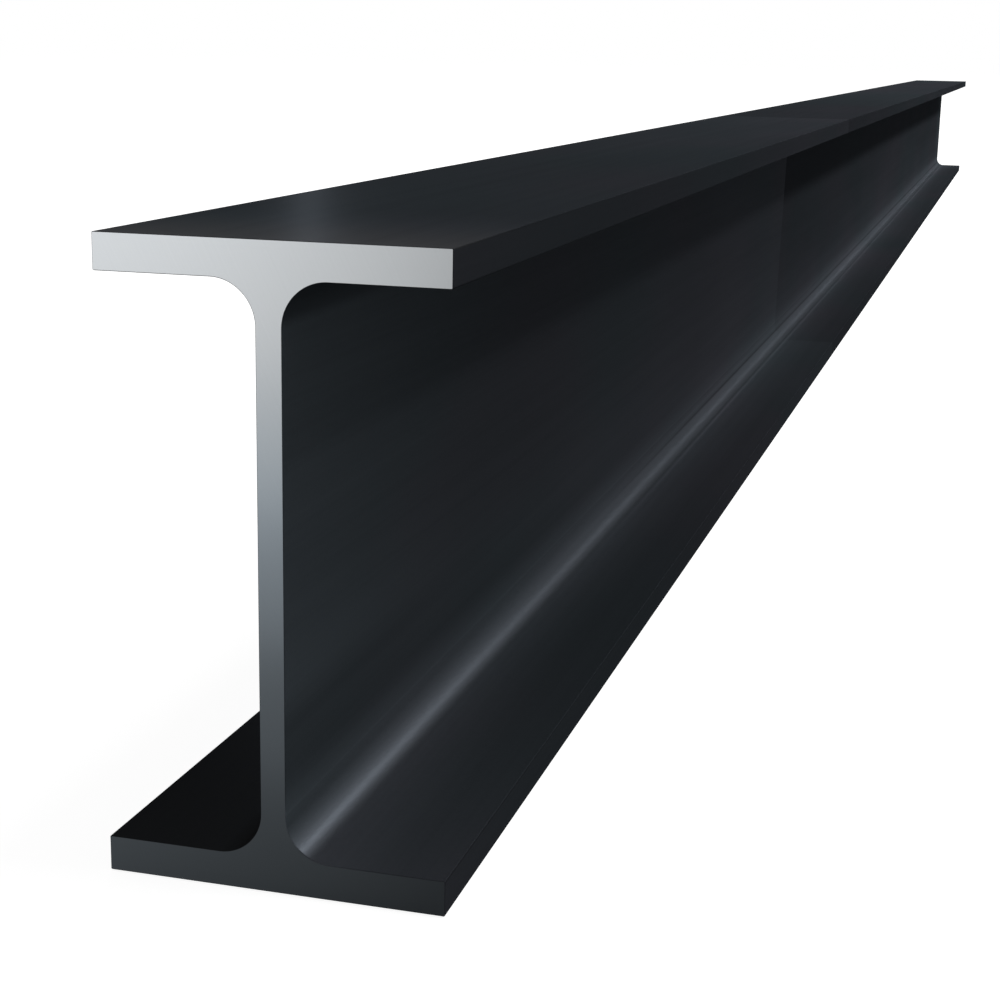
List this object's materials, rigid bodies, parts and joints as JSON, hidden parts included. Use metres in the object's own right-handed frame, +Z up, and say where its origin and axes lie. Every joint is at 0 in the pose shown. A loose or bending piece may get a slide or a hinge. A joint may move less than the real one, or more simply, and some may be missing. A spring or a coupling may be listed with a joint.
{
  "type": "steel i-beam",
  "caption": "Straight hot-rolled steel I-beam with parallel flanges, filleted roots and square-sawn ends, laid level as a joist, lintel or frame member.",
  "frame": {"origin": "centre of the bottom flange's underside at mid-length", "axes": "+Y along the beam, +X across the flanges, +Z up through the web to the top flange"},
  "size_m": [0.055, 2, 0.1],
  "materials": {
    "rolled_steel": "satin"
  },
  "bodies": {
    "root": {"i_beam": "rolled_steel"}
  },
  "joints": []
}
